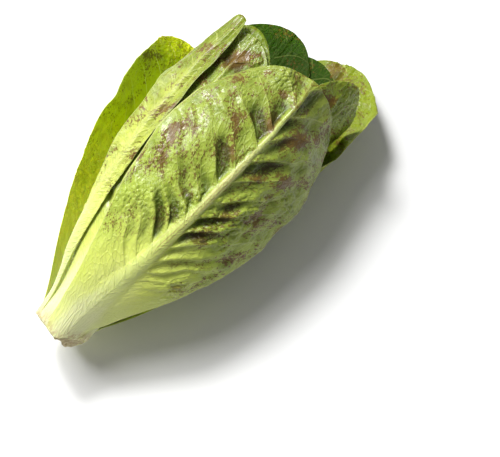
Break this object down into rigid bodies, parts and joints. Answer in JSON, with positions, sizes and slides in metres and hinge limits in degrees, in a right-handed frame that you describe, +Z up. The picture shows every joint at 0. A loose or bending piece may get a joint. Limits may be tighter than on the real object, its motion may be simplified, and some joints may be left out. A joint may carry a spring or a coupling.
{
  "type": "romaine lettuce head",
  "caption": "Loose upright-type lettuce head lying on its side: a cut stem and long ribbed leaves wrapped round a small heart.",
  "frame": {"origin": "on the surface the head lies on, at the flat spot of its lowest leaf under the head's weight", "axes": "+Z up, +X along the head from its cut stem to its leaf tips, +Y to the left of that"},
  "size_m": [0.2767, 0.159, 0.1154],
  "materials": {
    "leaf": "satin",
    "heart": "satin",
    "stem": "satin"
  },
  "bodies": {
    "root": {"stem": "stem", "heart": "heart", "leaf_floor": "leaf", "leaf_back_left": "leaf", "leaf_front": "leaf", "leaf_back_right": "leaf", "leaf_left": "leaf", "leaf_right": "leaf", "leaf_front_left": "leaf", "leaf_upper_right": "leaf", "leaf_back": "leaf", "leaf_inner_01": "leaf", "leaf_inner_02": "leaf", "leaf_inner_03": "leaf", "leaf_inner_04": "leaf", "leaf_inner_05": "leaf", "leaf_inner_06": "leaf", "leaf_inner_07": "leaf", "leaf_inner_08": "leaf", "leaf_inner_09": "leaf", "leaf_top": "leaf"}
  },
  "joints": []
}
